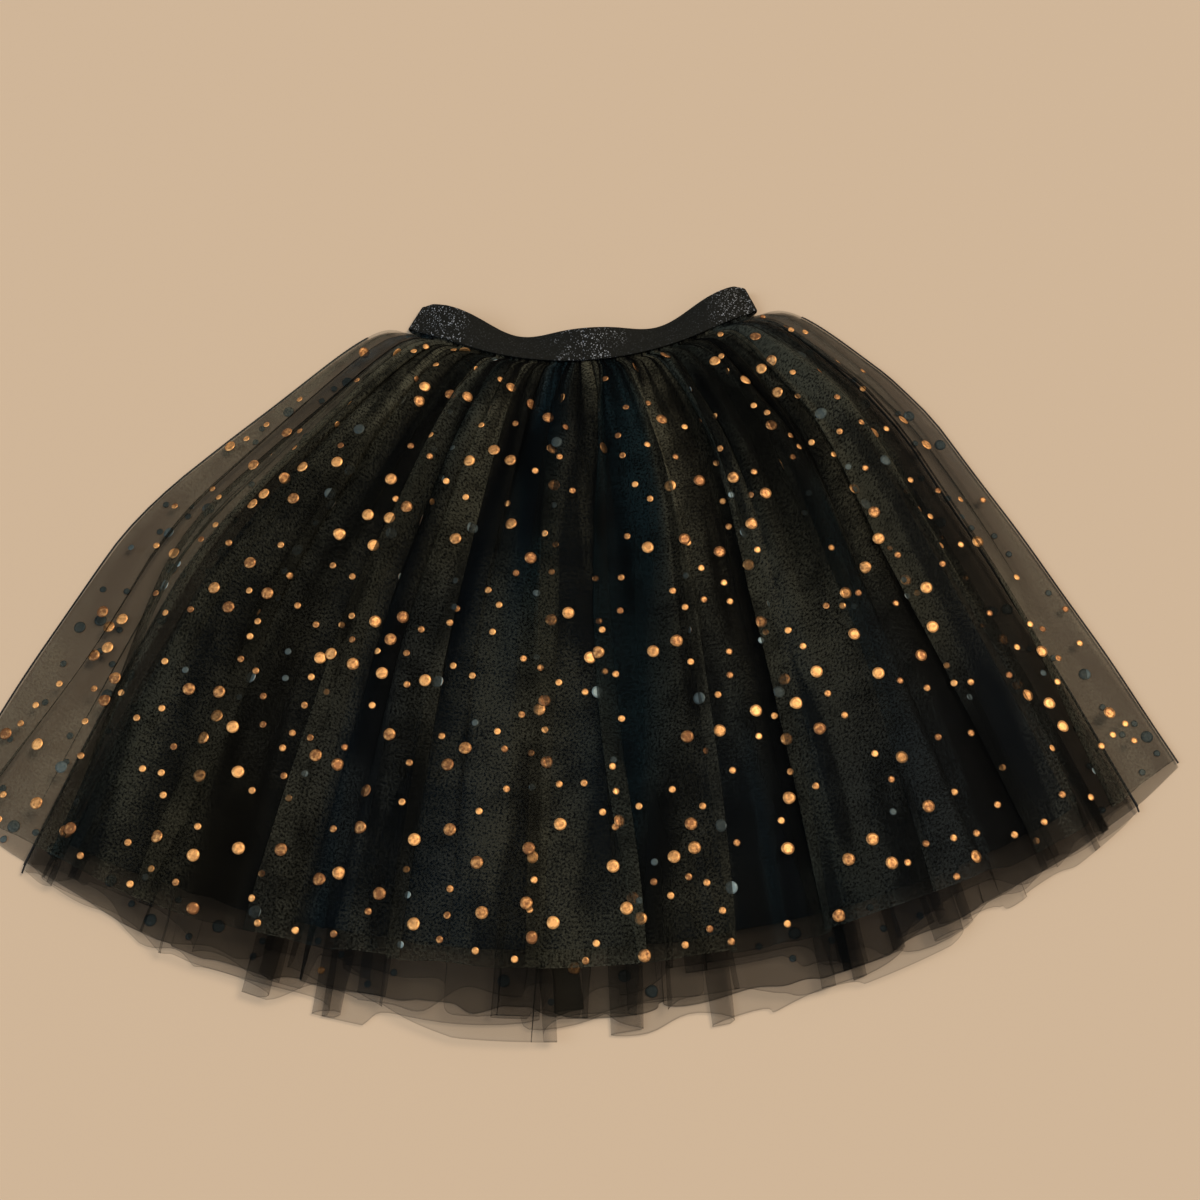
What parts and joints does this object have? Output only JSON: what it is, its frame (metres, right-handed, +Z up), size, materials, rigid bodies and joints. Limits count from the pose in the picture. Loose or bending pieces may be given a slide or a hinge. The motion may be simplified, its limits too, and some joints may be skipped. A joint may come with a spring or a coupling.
{
  "type": "tulle skirt",
  "caption": "Pull-on gathered tulle skirt lying flat, front up: glitter elastic waistband, foil-dotted overskirt, plain tulle underskirts and an opaque lining that open up at the waist and hem.",
  "frame": {"origin": "on the floor, under the middle of the front waist seam", "axes": "+X towards the wearer's left side as the skirt lies front up (the viewer's right), +Y from the hem towards the waistband, +Z up, away from the floor"},
  "size_m": [0.8212, 0.5506, 0.0382],
  "materials": {
    "dotted_tulle": "sheer black nylon net, low sheen",
    "plain_tulle": "sheer black nylon net, matt",
    "lining": "opaque black polyester knit, soft sheen",
    "glitter_elastic": "ribbed black elastic with silver lurex specks",
    "thread": "matt black overlock thread",
    "label_satin": "blank white satin tape",
    "copper_foil": "heat-bonded copper foil dots, slightly crinkled"
  },
  "bodies": {
    "back_half": {"overskirt_back": "dotted_tulle", "underskirt_outer_back": "plain_tulle", "underskirt_inner_back": "plain_tulle", "lining_back": "lining", "waistband_back": "glitter_elastic", "waist_seam_back": "thread", "care_label": "label_satin", "overskirt_side_seam_left": "thread", "overskirt_side_seam_right": "thread", "underskirt_outer_side_seam_left": "thread", "underskirt_outer_side_seam_right": "thread", "underskirt_inner_side_seam_left": "thread", "underskirt_inner_side_seam_right": "thread", "lining_side_seam_left": "thread", "lining_side_seam_right": "thread"},
    "front_half": {"lining_front": "lining", "underskirt_inner_front": "plain_tulle", "underskirt_outer_front": "plain_tulle", "waistband_front": "glitter_elastic", "waist_seam_front": "thread"},
    "overskirt": {"overskirt_front": "dotted_tulle"}
  },
  "joints": [
    {"name": "skirt_opening", "type": "hinge", "parent": "back_half", "child": "front_half", "pos_m": [0, 0.15, 0.012], "axis": [-1, 0, 0], "range_deg": [0, 15]},
    {"name": "overskirt_lift", "type": "hinge", "parent": "front_half", "child": "overskirt", "pos_m": [0, 0.056, 0.012], "axis": [-1, 0, 0], "range_deg": [0, 25]}
  ]
}
